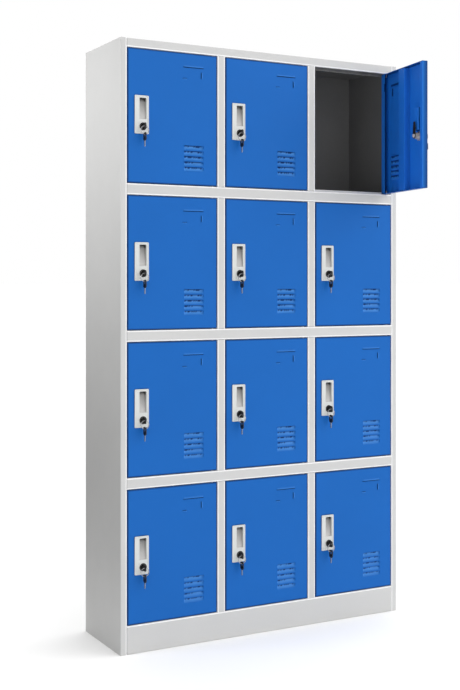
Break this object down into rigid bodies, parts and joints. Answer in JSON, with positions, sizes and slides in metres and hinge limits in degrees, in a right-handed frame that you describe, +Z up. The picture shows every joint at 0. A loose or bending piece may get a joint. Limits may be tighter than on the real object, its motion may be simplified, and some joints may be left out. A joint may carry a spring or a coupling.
{
  "type": "locker",
  "caption": "Upright sheet-steel locker with a grid of hinged blue doors in a light grey cabinet, each with a recessed handle plate, a key-turned cam lock and a spare key.",
  "frame": {"origin": "on the floor, at the middle of the plinth's foot flange and half-way across the cabinet's width, 12 mm behind the front plane", "axes": "+Z up, -Y out of the doors, +X to the right of a person facing the doors"},
  "size_m": [1, 0.5754, 1.85],
  "materials": {
    "body_paint": "light grey powder coat, fine texture, satin",
    "inner_paint": "dark grey powder coat inside the compartments",
    "door_paint": "blue powder coat, fine texture, satin",
    "handle_plate": "light grey moulded plastic, satin",
    "lock_metal": "plated zinc and steel",
    "key": "black moulded key head"
  },
  "bodies": {
    "cabinet": {"left_side_panel": "body_paint", "right_side_panel": "body_paint", "back_panel": "body_paint", "top_panel": "body_paint", "plinth": "body_paint", "bottom_panel": "inner_paint", "shelf_1": "body_paint", "shelf_2": "body_paint", "shelf_3": "body_paint", "partition_1": "body_paint", "partition_2": "body_paint"},
    "door_r1c1": {"door_r1c1": "door_paint", "handle_plate_r1c1": "handle_plate"},
    "lock_r1c1": {"lock_r1c1": "lock_metal"},
    "spare_key_r1c1": {"spare_key_r1c1": "key"},
    "door_r1c2": {"door_r1c2": "door_paint", "handle_plate_r1c2": "handle_plate"},
    "lock_r1c2": {"lock_r1c2": "lock_metal"},
    "spare_key_r1c2": {"spare_key_r1c2": "key"},
    "door_r1c3": {"door_r1c3": "door_paint", "handle_plate_r1c3": "handle_plate"},
    "lock_r1c3": {"lock_r1c3": "lock_metal"},
    "spare_key_r1c3": {"spare_key_r1c3": "key"},
    "door_r2c1": {"door_r2c1": "door_paint", "handle_plate_r2c1": "handle_plate"},
    "lock_r2c1": {"lock_r2c1": "lock_metal"},
    "spare_key_r2c1": {"spare_key_r2c1": "key"},
    "door_r2c2": {"door_r2c2": "door_paint", "handle_plate_r2c2": "handle_plate"},
    "lock_r2c2": {"lock_r2c2": "lock_metal"},
    "spare_key_r2c2": {"spare_key_r2c2": "key"},
    "door_r2c3": {"door_r2c3": "door_paint", "handle_plate_r2c3": "handle_plate"},
    "lock_r2c3": {"lock_r2c3": "lock_metal"},
    "spare_key_r2c3": {"spare_key_r2c3": "key"},
    "door_r3c1": {"door_r3c1": "door_paint", "handle_plate_r3c1": "handle_plate"},
    "lock_r3c1": {"lock_r3c1": "lock_metal"},
    "spare_key_r3c1": {"spare_key_r3c1": "key"},
    "door_r3c2": {"door_r3c2": "door_paint", "handle_plate_r3c2": "handle_plate"},
    "lock_r3c2": {"lock_r3c2": "lock_metal"},
    "spare_key_r3c2": {"spare_key_r3c2": "key"},
    "door_r3c3": {"door_r3c3": "door_paint", "handle_plate_r3c3": "handle_plate"},
    "lock_r3c3": {"lock_r3c3": "lock_metal"},
    "spare_key_r3c3": {"spare_key_r3c3": "key"},
    "door_r4c1": {"door_r4c1": "door_paint", "handle_plate_r4c1": "handle_plate"},
    "lock_r4c1": {"lock_r4c1": "lock_metal"},
    "spare_key_r4c1": {"spare_key_r4c1": "key"},
    "door_r4c2": {"door_r4c2": "door_paint", "handle_plate_r4c2": "handle_plate"},
    "lock_r4c2": {"lock_r4c2": "lock_metal"},
    "spare_key_r4c2": {"spare_key_r4c2": "key"},
    "door_r4c3": {"door_r4c3": "door_paint", "handle_plate_r4c3": "handle_plate"},
    "lock_r4c3": {"lock_r4c3": "lock_metal"},
    "spare_key_r4c3": {"spare_key_r4c3": "key"}
  },
  "joints": [
    {"name": "door_r1c1_hinge", "type": "hinge", "parent": "cabinet", "child": "door_r1c1", "pos_m": [-0.19367, -0.006, 1.41625], "axis": [0, 0, 1], "range_deg": [0, 115]},
    {"name": "door_r1c2_hinge", "type": "hinge", "parent": "cabinet", "child": "door_r1c2", "pos_m": [0.13467, -0.006, 1.41625], "axis": [0, 0, 1], "range_deg": [0, 115]},
    {"name": "door_r1c3_hinge", "type": "hinge", "parent": "cabinet", "child": "door_r1c3", "pos_m": [0.463, -0.006, 1.41625], "axis": [0, 0, 1], "range_deg": [-82, 33]},
    {"name": "door_r2c1_hinge", "type": "hinge", "parent": "cabinet", "child": "door_r2c1", "pos_m": [-0.19367, -0.006, 0.9735], "axis": [0, 0, 1], "range_deg": [0, 115]},
    {"name": "door_r2c2_hinge", "type": "hinge", "parent": "cabinet", "child": "door_r2c2", "pos_m": [0.13467, -0.006, 0.9735], "axis": [0, 0, 1], "range_deg": [0, 115]},
    {"name": "door_r2c3_hinge", "type": "hinge", "parent": "cabinet", "child": "door_r2c3", "pos_m": [0.463, -0.006, 0.9735], "axis": [0, 0, 1], "range_deg": [0, 115]},
    {"name": "door_r3c1_hinge", "type": "hinge", "parent": "cabinet", "child": "door_r3c1", "pos_m": [-0.19367, -0.006, 0.53075], "axis": [0, 0, 1], "range_deg": [0, 115]},
    {"name": "door_r3c2_hinge", "type": "hinge", "parent": "cabinet", "child": "door_r3c2", "pos_m": [0.13467, -0.006, 0.53075], "axis": [0, 0, 1], "range_deg": [0, 115]},
    {"name": "door_r3c3_hinge", "type": "hinge", "parent": "cabinet", "child": "door_r3c3", "pos_m": [0.463, -0.006, 0.53075], "axis": [0, 0, 1], "range_deg": [0, 115]},
    {"name": "door_r4c1_hinge", "type": "hinge", "parent": "cabinet", "child": "door_r4c1", "pos_m": [-0.19367, -0.006, 0.088], "axis": [0, 0, 1], "range_deg": [0, 115]},
    {"name": "door_r4c2_hinge", "type": "hinge", "parent": "cabinet", "child": "door_r4c2", "pos_m": [0.13467, -0.006, 0.088], "axis": [0, 0, 1], "range_deg": [0, 115]},
    {"name": "door_r4c3_hinge", "type": "hinge", "parent": "cabinet", "child": "door_r4c3", "pos_m": [0.463, -0.006, 0.088], "axis": [0, 0, 1], "range_deg": [0, 115]},
    {"name": "lock_r1c1_turn", "type": "hinge", "parent": "door_r1c1", "child": "lock_r1c1", "pos_m": [-0.4285, -0.012, 1.5865], "axis": [0, -1, 0], "range_deg": [0, 90]},
    {"name": "lock_r1c2_turn", "type": "hinge", "parent": "door_r1c2", "child": "lock_r1c2", "pos_m": [-0.10017, -0.012, 1.5865], "axis": [0, -1, 0], "range_deg": [0, 90]},
    {"name": "lock_r1c3_turn", "type": "hinge", "parent": "door_r1c3", "child": "lock_r1c3", "pos_m": [0.43626, -0.23938, 1.5865], "axis": [0.9903, -0.1392, 0], "range_deg": [0, 90]},
    {"name": "lock_r2c1_turn", "type": "hinge", "parent": "door_r2c1", "child": "lock_r2c1", "pos_m": [-0.4285, -0.012, 1.14375], "axis": [0, -1, 0], "range_deg": [0, 90]},
    {"name": "lock_r2c2_turn", "type": "hinge", "parent": "door_r2c2", "child": "lock_r2c2", "pos_m": [-0.10017, -0.012, 1.14375], "axis": [0, -1, 0], "range_deg": [0, 90]},
    {"name": "lock_r2c3_turn", "type": "hinge", "parent": "door_r2c3", "child": "lock_r2c3", "pos_m": [0.22817, -0.012, 1.14375], "axis": [0, -1, 0], "range_deg": [0, 90]},
    {"name": "lock_r3c1_turn", "type": "hinge", "parent": "door_r3c1", "child": "lock_r3c1", "pos_m": [-0.4285, -0.012, 0.701], "axis": [0, -1, 0], "range_deg": [0, 90]},
    {"name": "lock_r3c2_turn", "type": "hinge", "parent": "door_r3c2", "child": "lock_r3c2", "pos_m": [-0.10017, -0.012, 0.701], "axis": [0, -1, 0], "range_deg": [0, 90]},
    {"name": "lock_r3c3_turn", "type": "hinge", "parent": "door_r3c3", "child": "lock_r3c3", "pos_m": [0.22817, -0.012, 0.701], "axis": [0, -1, 0], "range_deg": [0, 90]},
    {"name": "lock_r4c1_turn", "type": "hinge", "parent": "door_r4c1", "child": "lock_r4c1", "pos_m": [-0.4285, -0.012, 0.25825], "axis": [0, -1, 0], "range_deg": [0, 90]},
    {"name": "lock_r4c2_turn", "type": "hinge", "parent": "door_r4c2", "child": "lock_r4c2", "pos_m": [-0.10017, -0.012, 0.25825], "axis": [0, -1, 0], "range_deg": [0, 90]},
    {"name": "lock_r4c3_turn", "type": "hinge", "parent": "door_r4c3", "child": "lock_r4c3", "pos_m": [0.22817, -0.012, 0.25825], "axis": [0, -1, 0], "range_deg": [0, 90]},
    {"name": "spare_key_r1c1_swing", "type": "hinge", "parent": "lock_r1c1", "child": "spare_key_r1c1", "pos_m": [-0.4285, -0.029, 1.5865], "axis": [0, -1, 0], "range_deg": [-45, 0]},
    {"name": "spare_key_r1c2_swing", "type": "hinge", "parent": "lock_r1c2", "child": "spare_key_r1c2", "pos_m": [-0.10017, -0.029, 1.5865], "axis": [0, -1, 0], "range_deg": [-45, 0]},
    {"name": "spare_key_r1c3_swing", "type": "hinge", "parent": "lock_r1c3", "child": "spare_key_r1c3", "pos_m": [0.45309, -0.24175, 1.5865], "axis": [0.9903, -0.1392, 0], "range_deg": [-45, 0]},
    {"name": "spare_key_r2c1_swing", "type": "hinge", "parent": "lock_r2c1", "child": "spare_key_r2c1", "pos_m": [-0.4285, -0.029, 1.14375], "axis": [0, -1, 0], "range_deg": [-45, 0]},
    {"name": "spare_key_r2c2_swing", "type": "hinge", "parent": "lock_r2c2", "child": "spare_key_r2c2", "pos_m": [-0.10017, -0.029, 1.14375], "axis": [0, -1, 0], "range_deg": [-45, 0]},
    {"name": "spare_key_r2c3_swing", "type": "hinge", "parent": "lock_r2c3", "child": "spare_key_r2c3", "pos_m": [0.22817, -0.029, 1.14375], "axis": [0, -1, 0], "range_deg": [-45, 0]},
    {"name": "spare_key_r3c1_swing", "type": "hinge", "parent": "lock_r3c1", "child": "spare_key_r3c1", "pos_m": [-0.4285, -0.029, 0.701], "axis": [0, -1, 0], "range_deg": [-45, 0]},
    {"name": "spare_key_r3c2_swing", "type": "hinge", "parent": "lock_r3c2", "child": "spare_key_r3c2", "pos_m": [-0.10017, -0.029, 0.701], "axis": [0, -1, 0], "range_deg": [-45, 0]},
    {"name": "spare_key_r3c3_swing", "type": "hinge", "parent": "lock_r3c3", "child": "spare_key_r3c3", "pos_m": [0.22817, -0.029, 0.701], "axis": [0, -1, 0], "range_deg": [-45, 0]},
    {"name": "spare_key_r4c1_swing", "type": "hinge", "parent": "lock_r4c1", "child": "spare_key_r4c1", "pos_m": [-0.4285, -0.029, 0.25825], "axis": [0, -1, 0], "range_deg": [-45, 0]},
    {"name": "spare_key_r4c2_swing", "type": "hinge", "parent": "lock_r4c2", "child": "spare_key_r4c2", "pos_m": [-0.10017, -0.029, 0.25825], "axis": [0, -1, 0], "range_deg": [-45, 0]},
    {"name": "spare_key_r4c3_swing", "type": "hinge", "parent": "lock_r4c3", "child": "spare_key_r4c3", "pos_m": [0.22817, -0.029, 0.25825], "axis": [0, -1, 0], "range_deg": [-45, 0]}
  ],
  "couplings": [
    {"joint": "spare_key_r1c1_swing", "follows": "lock_r1c1_turn", "ratio": -0.5},
    {"joint": "spare_key_r1c2_swing", "follows": "lock_r1c2_turn", "ratio": -0.5},
    {"joint": "spare_key_r1c3_swing", "follows": "lock_r1c3_turn", "ratio": -0.5},
    {"joint": "spare_key_r2c1_swing", "follows": "lock_r2c1_turn", "ratio": -0.5},
    {"joint": "spare_key_r2c2_swing", "follows": "lock_r2c2_turn", "ratio": -0.5},
    {"joint": "spare_key_r2c3_swing", "follows": "lock_r2c3_turn", "ratio": -0.5},
    {"joint": "spare_key_r3c1_swing", "follows": "lock_r3c1_turn", "ratio": -0.5},
    {"joint": "spare_key_r3c2_swing", "follows": "lock_r3c2_turn", "ratio": -0.5},
    {"joint": "spare_key_r3c3_swing", "follows": "lock_r3c3_turn", "ratio": -0.5},
    {"joint": "spare_key_r4c1_swing", "follows": "lock_r4c1_turn", "ratio": -0.5},
    {"joint": "spare_key_r4c2_swing", "follows": "lock_r4c2_turn", "ratio": -0.5},
    {"joint": "spare_key_r4c3_swing", "follows": "lock_r4c3_turn", "ratio": -0.5}
  ]
}
